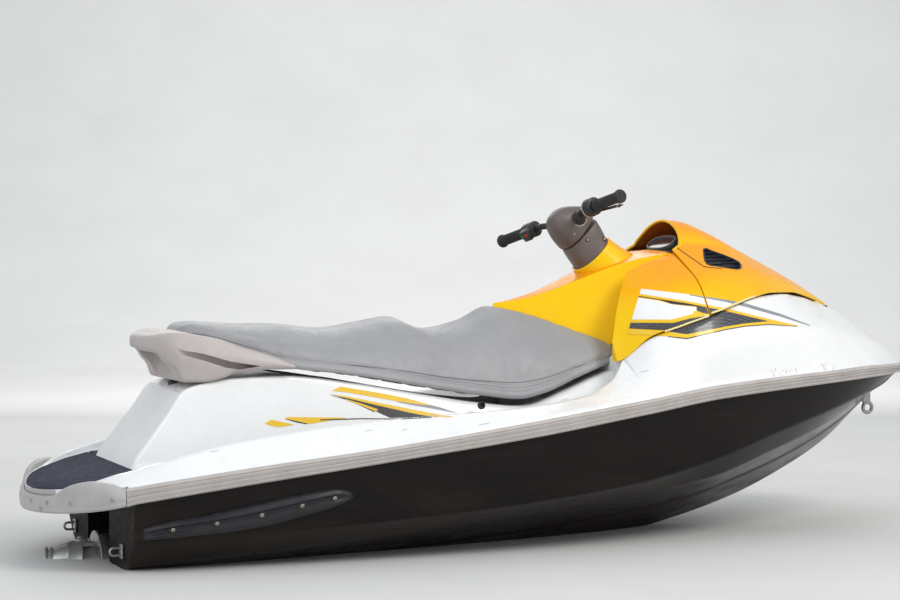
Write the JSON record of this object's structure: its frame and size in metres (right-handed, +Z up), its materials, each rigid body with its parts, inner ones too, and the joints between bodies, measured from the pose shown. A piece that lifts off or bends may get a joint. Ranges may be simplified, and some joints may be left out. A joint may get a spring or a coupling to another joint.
{
  "type": "personal watercraft",
  "caption": "Sit-down personal watercraft: V hull with jet pump, long saddle seat, handlebar steering, hinged bow hood and stern boarding platform.",
  "frame": {"origin": "on the centreline amidships, on the water surface (the plane z = 0)", "axes": "+X forward to the bow, +Y to port, +Z up"},
  "size_m": [3.22, 1.17, 1.3163],
  "materials": {
    "bar_black": "satin black",
    "bumper_grey": "satin moulded vinyl",
    "console_yellow": "gloss",
    "deck_white": "gloss gelcoat",
    "engine_metal": "painted",
    "grate_alloy": "cast, painted dark",
    "grip_rubber": "ribbed",
    "handle_grey": "satin moulded",
    "hood_yellow": "gloss",
    "hull_black": "gloss gelcoat, dusty low down",
    "impeller_steel": "satin",
    "lever_black": "satin",
    "mast_grey": "textured",
    "mat_foam": "ribbed foam mat",
    "pad_black": "textured",
    "plastic_black": "textured",
    "pod_plastic": "satin",
    "pump_alloy": "cast, dull",
    "rail_grey": "ribbed vinyl",
    "seat_vinyl": "matte marine vinyl",
    "sponson_charcoal": "satin moulded",
    "steel": "satin stainless"
  },
  "bodies": {
    "hull": {"hull_bottom": "hull_black", "hull_midship": "hull_black", "hull_topsides": "hull_black", "deck": "deck_white", "deck_gunwales": "deck_white", "boarding_deck": "deck_white", "footwell_floors": "deck_white", "seat_pedestal": "deck_white", "engine_bay_coamings": "deck_white", "rub_rails": "rail_grey", "stern_bumper": "bumper_grey", "bow_bumper": "bumper_grey", "bow_eye": "steel", "stern_eyes": "steel", "sponsons": "sponson_charcoal", "platform_mat": "mat_foam", "footwell_mats": "mat_foam", "pump_housing": "pump_alloy", "pump_nozzle": "pump_alloy", "intake_grate": "grate_alloy", "ride_plate": "grate_alloy", "engine_block": "engine_metal", "console": "console_yellow", "side_fairings": "console_yellow", "seat_latch": "plastic_black", "storage_bin": "plastic_black", "instrument_pod": "pod_plastic", "steering_mast": "mast_grey", "fuel_cap": "plastic_black"},
    "handlebar": {"handlebar_tube": "bar_black", "handlebar_pad": "pad_black", "grips": "grip_rubber", "throttle_housing": "plastic_black", "throttle_lever": "lever_black", "switch_housing": "plastic_black"},
    "nozzle": {"steering_nozzle": "pump_alloy"},
    "impeller": {"impeller": "impeller_steel", "drive_shaft": "impeller_steel"},
    "seat": {"seat_cushion": "seat_vinyl", "seat_base": "plastic_black", "grab_handle": "handle_grey"},
    "hood": {"hood": "hood_yellow", "hood_visor": "hood_yellow", "hood_vents": "plastic_black", "hood_hinge_pin": "steel"}
  },
  "joints": [
    {"name": "handlebar_steer", "type": "hinge", "parent": "hull", "child": "handlebar", "pos_m": [0.2549, 0, 1.0591], "axis": [-0.7071, 0, 0.7071], "range_deg": [-42, 6]},
    {"name": "nozzle_steer", "type": "hinge", "parent": "hull", "child": "nozzle", "pos_m": [-1.43, 0, -0.025], "axis": [0, 0, 1], "range_deg": [-5, 35]},
    {"name": "impeller_spin", "type": "hinge", "parent": "hull", "child": "impeller", "pos_m": [-1.272, 0, -0.025], "axis": [1, 0, 0], "continuous": true},
    {"name": "seat_lift", "type": "hinge", "parent": "hull", "child": "seat", "pos_m": [0.42, 0, 0.62], "axis": [0, 1, 0], "range_deg": [0, 32]},
    {"name": "hood_open", "type": "hinge", "parent": "hull", "child": "hood", "pos_m": [1.282, 0, 0.748], "axis": [0, 1, 0], "range_deg": [0, 50]}
  ],
  "couplings": [
    {"joint": "nozzle_steer", "follows": "handlebar_steer", "ratio": -0.83333}
  ]
}
